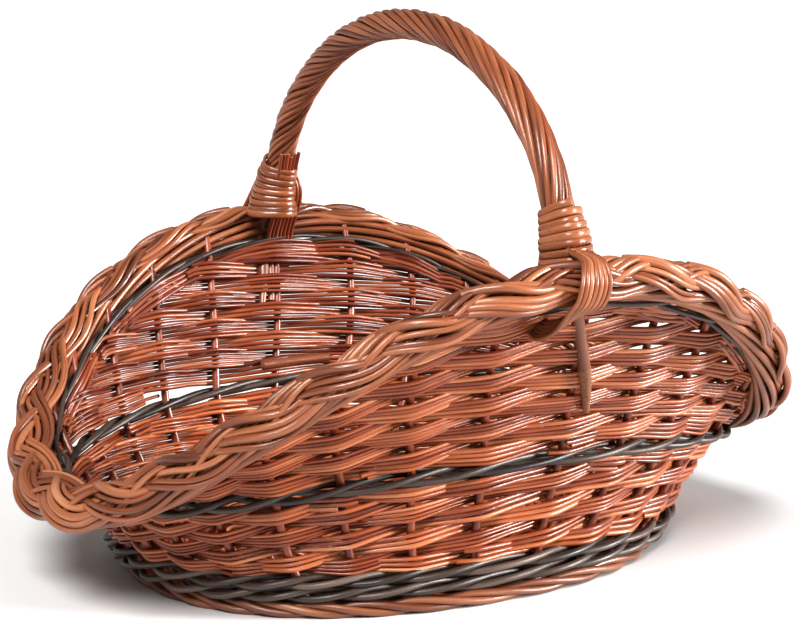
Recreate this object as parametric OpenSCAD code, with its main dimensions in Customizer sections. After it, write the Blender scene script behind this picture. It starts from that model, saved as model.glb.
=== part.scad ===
// Woven willow market basket with a roped cross handle.
// +X runs along the length, +Y across it, +Z up. The basket stands on z = 0,
// with the origin under the middle of its rim.

/* [Base] */
// Half length of the base outline
base_half_length = 182; // [176:1:188]
// Half width of the base outline
base_half_width = 134; // [130:1:138]
// How far the base sits off the middle of the rim, along the length
base_shift = -13; // [-16:1:0]
// Diameter of the sticks in the base
base_stick_d = 7; // [6:0.5:8]

/* [Wall] */
// Half length at the dark waist wale
waist_half_length = 245; // [240:1:250]
// Half width at the dark waist wale
waist_half_width = 141; // [137:1:145]
// Height of the waist wale at the two ends
waist_end_z = 68; // [64:1:72]
// Height of the waist wale at the two sides
waist_side_z = 89; // [85:1:93]
// Number of side stakes
stake_count = 32; // [32:4:36]
// Diameter of a side stake
stake_d = 5.6; // [5:0.2:6]
// How far the stakes lean round the basket above the waist, in degrees
stake_lean = 5; // [0:0.5:6]
// Thickness of the woven sides
siding_t = 11; // [10.4:0.2:12]

/* [Rim] */
// Half length of the rim line
rim_half_length = 258; // [254:1:262]
// Half width of the rim line
rim_half_width = 200; // [196:1:204]
// Height of the rim at the two low ends
rim_end_z = 76; // [74:1:80]
// Height of the rim at the two sides, under the handle
rim_side_z = 212; // [206:1:218]
// How much higher the front of the rim is than the middle of the two sides
rim_lean = 7; // [0:1:8]
// Radius of one of the three strands of the border
strand_r = 6.8; // [6:0.2:7]

/* [Handle] */
// Half of the handle's span, to its centreline
handle_half_span = 180; // [176:1:184]
// Height of the handle's centreline at its top
handle_top_z = 357; // [345:1:370]
// Where the handle stands along the length
handle_x = -6; // [-10:1:0]
// Radius of the bow inside the handle
bow_r = 6.4; // [6:0.2:6.8]
// Number of rods roped round the bow
rope_rods = 12; // [8:2:12]
// Radius of a roped rod
rope_rod_r = 1.8; // [1.6:0.1:1.9]
// Turns that each rod makes over the handle
rope_turns = 3.5; // [2:0.5:4]
// Turns in each binding
binding_turns = 9; // [7:1:9]

/* [Hidden] */
$fn = 32;

light_willow = [0.74, 0.40, 0.25];
deep_willow = [0.62, 0.28, 0.16];
dark_willow = [0.20, 0.16, 0.14];
pale_willow = [0.82, 0.52, 0.36];

oval_n = 2.2;                  // squareness of the ovals: 2 is an ellipse
rim_rise_power = 2.2;          // how sharply the rim climbs towards the handle
base_shift_y = 3.5;
waist_shift = [1.5, 10.5];
ring_steps = 56;               // sections round a whole ring
spring_z = 217;                // height at which the handle's arch springs
arch_rise = handle_top_z - spring_z;

foot_r = 5.5;                  // radius of the rope round the foot
foot_sides = 8;                // sides of its section, one of them flat on z = 0
foot_wale_bottom = 10.5;       // heights of the dark foot wale
foot_wale_top = 27;
base_z = 10;                   // middle plane of the base
base_t = 10;                   // thickness of the base weave
base_inset = 3.5;              // gap between the base weave and the base outline
wale_half = 6;                 // half height of the waist wale
top_wale_gap = 12;             // from the rim line down to the dark top wale
top_wale_h = 6.5;
channel_gap = 0.2;             // clearance round a stake in the weave
border_out = 7;                // how far the border's middle lies outside the rim line
border_end_lift = 6;           // how much the border rises off the wall at the ends
binding_rod_r = 2.15;
loop_rods = 7;                 // rods that loop round the border below each binding
loop_rod_r = 1.5;

// ---------- shape of the wall ----------

function signed_pow(v, e) = sign(v) * pow(max(abs(v), 1e-6), e);

// A point of a superellipse of half length hl and half width hw.
function oval(hl, hw, t) =
  [hl * signed_pow(cos(t), 2 / oval_n), hw * signed_pow(sin(t), 2 / oval_n)];

function base_line(t) =
  let (p = oval(base_half_length, base_half_width, t))
  [p.x + base_shift, p.y + base_shift_y, 0];

function waist_line(t) =
  let (p = oval(waist_half_length, waist_half_width, t))
  [p.x + waist_shift.x, p.y + waist_shift.y,
   waist_end_z + (waist_side_z - waist_end_z) * pow(sin(t), 2)];

function rim_line(t) =
  let (p = oval(rim_half_length, rim_half_width, t))
  [p.x, p.y, rim_end_z + (rim_side_z - rim_end_z) * pow(abs(sin(t)), rim_rise_power)
   - rim_lean * sin(t)];

// Lengths of the wall at direction t: below the waist and above it.
function lower_len(t) = norm(waist_line(t) - base_line(t));
function upper_len(t) = norm(rim_line(t) - waist_line(t));
function waist_u(t) = lower_len(t) / (lower_len(t) + upper_len(t));

// The wall's middle surface: u runs from 0 at the base to 1 at the rim line.
function wall(t, u) =
  let (w = waist_u(t))
  base_line(t) * (u - w) * (u - 1) / w
  + waist_line(t) * u * (u - 1) / (w * (w - 1))
  + rim_line(t) * u * (u - w) / (1 - w);

function unit(v) = v / norm(v);

function wall_normal(t, u) =
  unit(cross(wall(t + 0.5, u) - wall(t - 0.5, u), wall(t, u + 0.01) - wall(t, u - 0.01)));

// A point at distance out in front of the middle surface.
function wall_out(t, u, out) = wall(t, u) + out * wall_normal(t, u);

// u of the place that is s above the waist, and of the place at height z below it.
function u_above(t, s) = waist_u(t) + s / (lower_len(t) + upper_len(t));
function u_height(t, z) = waist_u(t) * z / waist_line(t).z;

function border_mid(t) =
  wall_out(t, 1, border_out) + [0, 0, border_end_lift * pow(abs(cos(t)), 4)];

// The handle's centreline: 0 degrees is the back leg, 180 the front leg.
function arch(a) = [handle_x, handle_half_span * cos(a), spring_z + arch_rise * sin(a)];
function arch_dir(a) = unit([0, -handle_half_span * sin(a), arch_rise * cos(a)]);
function arch_out(a) = unit([0, arch_rise * cos(a), handle_half_span * sin(a)]);

// ---------- solids from sections ----------

function quad_faces(i, k, m) =
  [for (j = [0 : m - 1]) each [
    [i * m + j, k * m + j, k * m + (j + 1) % m],
    [i * m + j, k * m + (j + 1) % m, i * m + (j + 1) % m]]];

// A solid through a list of sections that have the same number of points.
module loft(sections, closed = false) {
  n = len(sections);
  m = len(sections[0]);
  last = closed ? n - 1 : n - 2;
  sides = [for (i = [0 : last]) each quad_faces(i, (i + 1) % n, m)];
  first_cap = [for (j = [1 : m - 2]) [0, j, j + 1]];
  last_cap = [for (j = [1 : m - 2]) [(n - 1) * m, (n - 1) * m + j + 1, (n - 1) * m + j]];
  polyhedron([for (s = sections) each s],
             closed ? sides : concat(sides, first_cap, last_cap), convexity = 8);
}

// Direction of a path at its point i.
function path_dir(p, i, closed) =
  let (n = len(p))
  unit(closed ? p[(i + 1) % n] - p[(i + n - 1) % n] : p[min(i + 1, n - 1)] - p[max(i - 1, 0)]);

function round_section(c, dir, ref, r, sides) =
  let (a = unit(ref - (ref * dir) * dir), b = cross(dir, a))
  [for (j = [0 : sides - 1]) let (q = 360 * (j + 0.5) / sides) c + r * (cos(q) * a + sin(q) * b)];

// A rod along a path. ref is a direction that is never along the path.
module rod(path, r, ref, sides = 6, closed = false) {
  loft([for (i = [0 : len(path) - 1])
    round_section(path[i], path_dir(path, i, closed), ref, r, sides)], closed);
}

// Section of a woven band at t, from u0 to u1, with a bulge on both faces.
function band_section(t, u0, u1, half, bulge) =
  let (um = (u0 + u1) / 2)
  [wall_out(t, u0, -half), wall_out(t, um, -half - bulge), wall_out(t, u1, -half),
   wall_out(t, u1, half), wall_out(t, um, half + bulge), wall_out(t, u0, half)];

// ---------- stakes ----------

function stake_t(k) = (k + 0.5) * 360 / stake_count;
function leaning_t(t, u) = t - stake_lean * max(0, u - waist_u(t)) / (1 - waist_u(t));
function stake_point(t, u) = wall(leaning_t(t, u), u);
function stake_top_u(t) = 1 - 12 / (lower_len(t) + upper_len(t));
stake_steps = 6;

module stake(t, r, u0, u1) {
  path = [for (i = [0 : stake_steps]) stake_point(t, u0 + (u1 - u0) * i / stake_steps)];
  rod(path, r, [cos(t), sin(t), 0], 5);
}

module stake_group(first) {
  for (k = [first : first + stake_count / 4 - 1])
    stake(stake_t(k), stake_d / 2, u_height(stake_t(k), foot_r), stake_top_u(stake_t(k)));
}

// Room for the stakes, cut out of the weave. Each channel runs past the whole wall.
module stake_channels() {
  for (k = [0 : stake_count - 1])
    stake(stake_t(k), stake_d / 2 + channel_gap, -0.02, 1.02);
}

module front_stakes() { color(deep_willow) stake_group(stake_count * 5 / 8); }
module back_stakes() { color(deep_willow) stake_group(stake_count / 8); }
module left_end_stakes() { color(deep_willow) stake_group(stake_count * 3 / 8); }
module right_end_stakes() { color(deep_willow) stake_group(-stake_count / 8); }

// ---------- base ----------

cross_sticks = 9;
long_sticks = 5;
cross_pitch = 34;
long_pitch = 20;

function base_edge_y(x) =
  (base_half_width - base_inset - 6)
  * pow(1 - pow(abs(x) / (base_half_length - base_inset), oval_n), 1 / oval_n);
function base_edge_x(y) =
  (base_half_length - base_inset - 6)
  * pow(1 - pow(abs(y) / (base_half_width - base_inset), oval_n), 1 / oval_n);

module place_base() { translate([base_shift, base_shift_y, base_z]) children(); }

// Thick sticks across the base, slit where the long ones pass through them.
module cross_stick(i, extra = 0) {
  x = (i - (cross_sticks - 1) / 2) * cross_pitch;
  h = 2 * base_edge_y(x) + extra;
  translate([x, 0, 0]) rotate([90, 0, 0]) cylinder(d = base_stick_d + extra, h = h, center = true);
}

module long_stick(i, extra = 0) {
  y = (i - (long_sticks - 1) / 2) * long_pitch;
  h = 2 * base_edge_x(y) + extra;
  translate([0, y, 0]) rotate([0, 90, 0]) cylinder(d = base_stick_d - 2 + extra, h = h, center = true);
}

module base_cross_sticks() {
  color(deep_willow) place_base() difference() {
    for (i = [0 : cross_sticks - 1]) cross_stick(i);
    for (i = [0 : long_sticks - 1]) long_stick(i, 0.2);
  }
}

module base_long_sticks() {
  color(deep_willow) place_base() for (i = [0 : long_sticks - 1]) long_stick(i);
}

module base_weave() {
  outline = [for (i = [0 : ring_steps - 1])
    oval(base_half_length - base_inset, base_half_width - base_inset, 360 * i / ring_steps)];
  color(light_willow) place_base() difference() {
    translate([0, 0, -base_t / 2]) linear_extrude(base_t) polygon(outline);
    for (i = [0 : cross_sticks - 1]) cross_stick(i, 0.2);
    for (i = [0 : long_sticks - 1]) long_stick(i, 0.2);
  }
}

// ---------- foot, wales and siding ----------

module foot_border() {
  path = [for (i = [0 : ring_steps - 1])
    let (t = 360 * i / ring_steps, p = base_line(t), out = unit([p.x - base_shift, p.y, 0]))
    p + (foot_r - 2) * out + [0, 0, foot_r * cos(180 / foot_sides)]];
  color(light_willow) rod(path, foot_r, [0, 0, 1], foot_sides, true);
}

module foot_wale() {
  color(dark_willow) difference() {
    loft([for (i = [0 : ring_steps - 1]) let (t = 360 * i / ring_steps)
      band_section(t, u_height(t, foot_wale_bottom), u_height(t, foot_wale_top),
                   siding_t / 2, 2.5)], true);
    stake_channels();
  }
}

// Top of the waist wale, kept clear of the border at the low ends.
function waist_top(t) = min(wale_half, upper_len(t) - 17);
function waist_bottom(t) = waist_top(t) - 2 * wale_half;

module lower_siding() {
  color(light_willow) difference() {
    loft([for (i = [0 : ring_steps - 1]) let (t = 360 * i / ring_steps)
      band_section(t, u_height(t, foot_wale_top + 0.3), u_above(t, waist_bottom(t) - 0.3),
                   siding_t / 2, 0.4)], true);
    stake_channels();
  }
}

module waist_wale() {
  color(dark_willow) difference() {
    loft([for (i = [0 : ring_steps - 1]) let (t = 360 * i / ring_steps)
      band_section(t, u_above(t, waist_bottom(t)), u_above(t, waist_top(t)),
                   siding_t / 2, 2.5)], true);
    stake_channels();
    handle_bow_solid(channel_gap);
  }
}

// The built-up sides reach to side_end degrees either way from the handle.
side_end = 62;
side_steps = 26;
function side_u_top(t, gap) = 1 - gap / (lower_len(t) + upper_len(t));
function side_t(middle, i) = middle - side_end + 2 * side_end * i / side_steps;

// Section of the built-up siding: four points up each face, to follow its curve.
function siding_section(t) =
  let (u0 = u_above(t, wale_half + 0.3), u1 = side_u_top(t, top_wale_gap + top_wale_h + 0.3),
       h = siding_t / 2)
  concat([for (j = [0 : 3]) wall_out(t, u0 + (u1 - u0) * j / 3, -h)],
         [for (j = [3 : -1 : 0]) wall_out(t, u0 + (u1 - u0) * j / 3, h)]);

module siding(middle) {
  color(light_willow) difference() {
    loft([for (i = [0 : side_steps]) siding_section(side_t(middle, i))]);
    stake_channels();
    handle_bow_solid(channel_gap);
  }
}

module front_siding() { siding(-90); }
module back_siding() { siding(90); }

module top_wale(middle) {
  color(dark_willow) difference() {
    loft([for (i = [0 : side_steps]) let (t = side_t(middle, i))
      band_section(t, side_u_top(t, top_wale_gap + top_wale_h), side_u_top(t, top_wale_gap),
                   siding_t / 2 - 1, 1)]);
    stake_channels();
    handle_bow_solid(channel_gap);
  }
}

module front_top_wale() { top_wale(-90); }
module back_top_wale() { top_wale(90); }

// ---------- plaited border ----------

border_turns = 9;
border_steps = 72;
strand_pitch_r = strand_r * 2 / sqrt(3) + 0.2;

function border_side(t) = unit(border_mid(t + 0.5) - border_mid(t - 0.5));
function border_up(t) =
  let (d = border_side(t)) unit([0, 0, 1] - d.z * d);
function border_point(t, angle, r) =
  let (up = border_up(t), out = cross(border_side(t), up))
  border_mid(t) + r * (cos(angle) * out + sin(angle) * up);

module border_strand(k) {
  path = [for (i = [0 : border_steps - 1]) let (t = 360 * i / border_steps)
    border_point(t, border_turns * t + 120 * k, strand_pitch_r)];
  color(light_willow) rod(path, strand_r, [0, 0, 1], 6, true);
}

module border_strand_1() { border_strand(0); }
module border_strand_2() { border_strand(1); }
module border_strand_3() { border_strand(2); }

// Cut ends of the rods, left standing on the border's inner face.
cut_ends = 24;
module border_cut_ends() {
  color(pale_willow) for (i = [0 : cut_ends - 1]) {
    t = 360 * (i + 0.5) / cut_ends;
    p = border_point(t, 150, strand_pitch_r + strand_r - 0.5);
    translate(p) rotate([-60, 0, t - 90]) cylinder(d = 7, h = 4);
  }
}

// ---------- handle ----------

leg_steps = 6;
arch_steps = 30;
bow_end_r = 4;                 // radius of the bow's ends, inside the weave

// The bow's end in the weave, from just above the waist up to the rim.
function bow_leg(t, i) =
  let (w = waist_u(t), u = w + (0.90 - w) * (0.10 + 0.9 * i / leg_steps)) stake_point(t, u);
function bow_path() = concat(
  [for (i = [0 : leg_steps]) bow_leg(bow_back_t, i)],
  [for (i = [1 : arch_steps - 1]) arch(180 * i / arch_steps)],
  [for (i = [leg_steps : -1 : 0]) bow_leg(bow_front_t, i)]);
bow_back_t = 90 + 3;
bow_front_t = -90 + 3;

module handle_bow_solid(gap = 0) {
  path = bow_path();
  n = len(path);
  loft([for (i = [0 : n - 1])
    round_section(path[i], path_dir(path, i, false), [1, 0, 0],
                  ((i <= leg_steps || i >= n - 1 - leg_steps) ? bow_end_r : bow_r) + gap, 8)]);
}

module handle_bow() { color(deep_willow) handle_bow_solid(); }

// Rods roped round the bow, between the two bindings.
rope_from = 19.3;                // arch angles where the rope starts and ends
rope_steps = 30;
rope_pitch_r = bow_r + rope_rod_r + 0.2;

function rope_point(a, turn) =
  arch(a) + rope_pitch_r * (cos(turn) * arch_out(a) - sin(turn) * [1, 0, 0]);

module rope_rod(k) {
  path = [for (i = [0 : rope_steps])
    let (f = i / rope_steps, a = rope_from + (180 - 2 * rope_from) * f)
    rope_point(a, 360 * (rope_turns * f * (1.6 - 0.6 * f) + k / rope_rods))];
  rod(path, rope_rod_r, [1, 0, 0], 5);
}

module handle_rope_outer() { color(light_willow) for (k = [0 : 2 : rope_rods - 1]) rope_rod(k); }
module handle_rope_inner() { color(pale_willow) for (k = [1 : 2 : rope_rods - 1]) rope_rod(k); }

// A binding: separate turns of willow that widen towards the rim.
binding_top_angle = 18.5;
binding_r_top = 12.6;
binding_r_bottom = 18;

module binding(back) {
  color(pale_willow) for (i = [0 : binding_turns - 1]) {
    f = i / (binding_turns - 1);
    a = 2 + (binding_top_angle - 2) * f;
    here = back ? a : 180 - a;
    lean = back ? atan2(arch_dir(a).y, arch_dir(a).z) : -atan2(arch_dir(a).y, arch_dir(a).z);
    translate(arch(here)) rotate([-lean, 0, 0]) rotate_extrude()
      translate([binding_r_bottom + (binding_r_top - binding_r_bottom) * f - binding_rod_r, 0])
      circle(r = binding_rod_r);
  }
}

module front_binding() { binding(false); }
module back_binding() { binding(true); }

// Rods that leave the binding, pass over the border's outer face, go through the
// weave under it and come up inside.
loop_r = strand_pitch_r + strand_r + loop_rod_r + 0.3;
loop_steps = 12;
loop_pitch = 3.1;

module rod_loops(side) {
  mid = border_mid(90 * side);
  color(deep_willow) for (k = [0 : loop_rods - 1]) {
    x = handle_x + (k - (loop_rods - 1) / 2) * loop_pitch;
    path = [for (i = [0 : loop_steps]) let (q = 112 - 250 * i / loop_steps)
      [x - 0.05 * (q - 112), mid.y + side * loop_r * cos(q), mid.z + loop_r * sin(q)]];
    rod(path, loop_rod_r, [1, 0, 0], 5);
  }
}

module front_rod_loops() { rod_loops(-1); }
module back_rod_loops() { rod_loops(1); }

base_cross_sticks();
base_long_sticks();
base_weave();
foot_border();
foot_wale();
front_stakes();
back_stakes();
left_end_stakes();
right_end_stakes();
lower_siding();
waist_wale();
front_siding();
back_siding();
front_top_wale();
back_top_wale();
border_strand_1();
border_strand_2();
border_strand_3();
border_cut_ends();
handle_bow();
handle_rope_outer();
handle_rope_inner();
front_binding();
back_binding();
front_rod_loops();
back_rod_loops();
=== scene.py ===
"""Looks of the woven willow basket.

Every rod is a tube of its own, swept along a path that is laid on the shape of the CAD frame:
in front of and behind the stakes in the siding, twisted in the dark wales, plaited in the border
and roped round the handle. Lengths are in millimetres until a mesh is made.
"""
import math

import bpy
import numpy as np
from mathutils import Matrix, Vector


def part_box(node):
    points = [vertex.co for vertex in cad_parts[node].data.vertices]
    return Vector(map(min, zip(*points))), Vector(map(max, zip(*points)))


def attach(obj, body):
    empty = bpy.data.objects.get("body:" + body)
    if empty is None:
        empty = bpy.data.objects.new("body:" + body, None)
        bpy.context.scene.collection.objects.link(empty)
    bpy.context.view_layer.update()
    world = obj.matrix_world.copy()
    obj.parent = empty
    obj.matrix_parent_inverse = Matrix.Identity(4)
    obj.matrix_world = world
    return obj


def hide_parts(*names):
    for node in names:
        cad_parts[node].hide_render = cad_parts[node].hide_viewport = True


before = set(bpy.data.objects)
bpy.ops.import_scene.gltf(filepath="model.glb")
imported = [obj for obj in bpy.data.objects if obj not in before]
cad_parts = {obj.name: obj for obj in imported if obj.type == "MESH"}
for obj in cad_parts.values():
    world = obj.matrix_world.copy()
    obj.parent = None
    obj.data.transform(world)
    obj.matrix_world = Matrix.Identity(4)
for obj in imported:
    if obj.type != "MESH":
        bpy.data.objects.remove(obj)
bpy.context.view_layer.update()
MM = 0.001
rng = np.random.default_rng(11)


# ---------- sizes, worked out from the frame ----------

def mm_box(*nodes):
    """Lowest and highest corner of some CAD nodes together, in millimetres."""
    corners = np.array([[list(corner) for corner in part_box(node)] for node in nodes]) / MM
    return corners[:, 0].min(axis=0), corners[:, 1].max(axis=0)


OVAL_N = 2.2                    # squareness of the ovals, as in the frame
RIM_RISE = 2.2                  # how sharply the rim climbs towards the handle

floor_lo, floor_hi = mm_box("base_weave")
BASE_INSET = 3.5                # from the base outline in to the base weave
BASE_HALF = (floor_hi - floor_lo)[:2] / 2 + BASE_INSET
BASE_MID = (floor_hi + floor_lo)[:2] / 2
BASE_Z = (floor_hi[2] + floor_lo[2]) / 2

waist_lo, waist_hi = mm_box("waist_wale")
WALE_PROUD = np.array([4.7, 7.8])   # from the wall's middle out to the wale's face: ends, sides
WAIST_HALF = (waist_hi - waist_lo)[:2] / 2 - WALE_PROUD
WAIST_MID = (waist_hi + waist_lo)[:2] / 2
WALE_IN_Z = (12.8, 7.2)         # from the box's lowest and highest point in to its middle line
WAIST_Z = np.array([waist_lo[2] + WALE_IN_Z[0], waist_hi[2] - WALE_IN_Z[1]])   # at ends, at sides

border_lo, border_hi = mm_box("border_strand_1", "border_strand_2", "border_strand_3")
BORDER_PROUD = np.array([17.7, 19.5])   # from the rim line out to the border's face: ends, sides
RIM_HALF = (border_hi - border_lo)[:2] / 2 - BORDER_PROUD
RIM_LEAN = 7.0                  # the front of the rim is this much above RIM_Z
BACK_LEAN = 12.0                # and the back is this much below it
RIGHT_IN = 8.0                  # the right end of the rim is this much nearer than the left
RIM_IN_Z = (14.0, 7.7)          # from the border's lowest and highest point in to the rim line
RIM_Z = np.array([border_lo[2] + RIM_IN_Z[0], border_hi[2] - RIM_IN_Z[1] - RIM_LEAN])

rope_lo, rope_hi = mm_box("handle_rope_outer", "handle_rope_inner")
HANDLE_X = (rope_lo[0] + rope_hi[0]) / 2
ROPE_R = (rope_hi[0] - rope_lo[0]) / 2
HANDLE_TOP = rope_hi[2] - ROPE_R
SPRING_Z = 217.0                # height at which the arch springs from its legs
ARCH_RISE = HANDLE_TOP - SPRING_Z
HANDLE_SPAN = 180.0             # half of the span
BACK_LEG_IN = 4.0               # the back leg stands this much further left

STAKES = 32
STAKE_STEP = 360 / STAKES
STAKE_R = 2.8
STAKE_LEAN = 5.0                # degrees that a stake leans from the waist to the rim

FOOT_TOP = 27.0                 # top of the dark wale round the foot
WAIST_HALF_H = 5.5              # half height of the waist wale
TOP_WALE_AT = {1: 15.0, -1: 19.0}   # the top wale's middle, down from the rim line: back, front
SIDING_DOWN = 2.4               # the siding's upper edge, down from there
BORDER_OUT = 7.0                # the border's middle, out from the rim line
BORDER_END_IN = (5.5, 17.0)     # less by this at the left and the right end
BORDER_END_DROP = (11.0, 15.0)  # how far it sags there


# ---------- shape of the wall ----------

def signed_pow(v, e):
    """The power of the size of v, with the sign of v."""
    return np.sign(v) * np.maximum(np.abs(v), 1e-6) ** e


def oval(half, t):
    """Points of a superellipse at angles t in degrees."""
    a = np.radians(t)
    return half[0] * signed_pow(np.cos(a), 2 / OVAL_N), half[1] * signed_pow(np.sin(a), 2 / OVAL_N)


def to_right(t):
    """1 at the right end, falling to 0 at the sides."""
    return np.maximum(0, np.cos(np.radians(t)))


def base_line(t):
    """The outline of the base, on the floor."""
    x, y = oval(BASE_HALF, t)
    return np.stack([x + BASE_MID[0], y + BASE_MID[1], 0 * x], -1)


def waist_line(t):
    """The line of the waist wale, lowest at the ends."""
    x, y = oval(WAIST_HALF, t)
    z = WAIST_Z[0] + (WAIST_Z[1] - WAIST_Z[0]) * np.sin(np.radians(t)) ** 2
    return np.stack([x + WAIST_MID[0], y + WAIST_MID[1], z], -1)


def rim_line(t):
    """The upper edge of the wall, inside the border: low at the ends and high at the sides."""
    x, y = oval(RIM_HALF, t)
    s = np.sin(np.radians(t))
    lean = np.where(s > 0, BACK_LEAN * s ** 2, RIM_LEAN * s)
    z = RIM_Z[0] + (RIM_Z[1] - RIM_Z[0]) * np.abs(s) ** RIM_RISE - lean
    x = x - RIGHT_IN * to_right(t) ** 2
    return np.stack([x, y, z], -1)


def lower_len(t):
    """Length of the wall from the base to the waist."""
    return np.linalg.norm(waist_line(t) - base_line(t), axis=-1)


def upper_len(t):
    """Length of the wall from the waist to the rim line."""
    return np.linalg.norm(rim_line(t) - waist_line(t), axis=-1)


def waist_u(t):
    """u at the waist."""
    return lower_len(t) / (lower_len(t) + upper_len(t))


def wall(t, u):
    """The wall's middle surface: u is 0 at the base and 1 at the rim line."""
    w, v = waist_u(t)[..., None], u[..., None]
    return (base_line(t) * (v - w) * (v - 1) / w + waist_line(t) * v * (v - 1) / (w * (w - 1))
            + rim_line(t) * v * (v - w) / (1 - w))


def unit(v):
    """Directions of some vectors."""
    return v / np.linalg.norm(v, axis=-1, keepdims=True)


def wall_normal(t, u):
    """The outward direction at right angles to the wall."""
    along = wall(t + 0.5, u) - wall(t - 0.5, u)
    up = wall(t, u + 0.01) - wall(t, u - 0.01)
    return unit(np.cross(along, up))


def u_above(t, s):
    """u of the place that is s above the waist."""
    return waist_u(t) + s / (lower_len(t) + upper_len(t))


def u_height(t, z):
    """u of the place at height z, below the waist."""
    return waist_u(t) * z / waist_line(t)[..., 2]


def u_foot(t, d):
    """u of the place near the foot that is d above the base. Where the wall lies flat, at the
    ends, d is taken halfway between the height and the way along the wall."""
    return (u_height(t, d) + d / (lower_len(t) + upper_len(t))) / 2


def stake_index(t, u):
    """Whole numbers fall on the stakes, which lean above the waist."""
    w = waist_u(t)
    lean = STAKE_LEAN * np.maximum(0, (u - w) / (1 - w))
    return (t + lean) / STAKE_STEP - 0.5


def stake_angle(k, u):
    """The angle at which stake k is found at u."""
    t = (k + 0.5) * STAKE_STEP + 0 * u
    w = waist_u(t)
    return t - STAKE_LEAN * np.maximum(0, (u - w) / (1 - w))


def arch(a):
    """The handle's centreline: 0 degrees is the back leg, 180 the front leg."""
    a = np.radians(a)
    x = HANDLE_X - BACK_LEG_IN * np.maximum(0, np.cos(a)) ** 2
    return np.stack([x, HANDLE_SPAN * np.cos(a), SPRING_Z + ARCH_RISE * np.sin(a)], -1)


def arch_out(a):
    """The direction away from the middle of the arch."""
    a = np.radians(a)
    return unit(np.stack([0 * a, ARCH_RISE * np.cos(a), HANDLE_SPAN * np.sin(a)], -1))


# ---------- rods ----------

def wander(n, step, size):
    """A slow random drift of n values, with a new target about every step values."""
    knots = rng.normal(0, size, int(n / step) + 3)
    return np.interp(np.arange(n) / step, np.arange(len(knots)), knots)


def smooth_path(points, n):
    """A curve of n points through some points (Catmull-Rom)."""
    p = np.asarray(points, float)
    p = np.vstack([2 * p[0] - p[1], p, 2 * p[-1] - p[-2]])
    x = np.linspace(0, len(p) - 3 - 1e-9, n)
    i = x.astype(int)
    f = (x - i)[:, None]
    a, b, c, d = p[i], p[i + 1], p[i + 2], p[i + 3]
    return 0.5 * (2 * b + (c - a) * f + (2 * a - 5 * b + 4 * c - d) * f ** 2
                  + (3 * b - a - 3 * c + d) * f ** 3)


CAP_FACE = 0.86                 # a cut face's size inside its worn edge, as a share of the rod's
CAP_EDGE_RISE = 0.16            # how far its edge and its middle stand out, in radii
CAP_MIDDLE_RISE = 0.20


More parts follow.
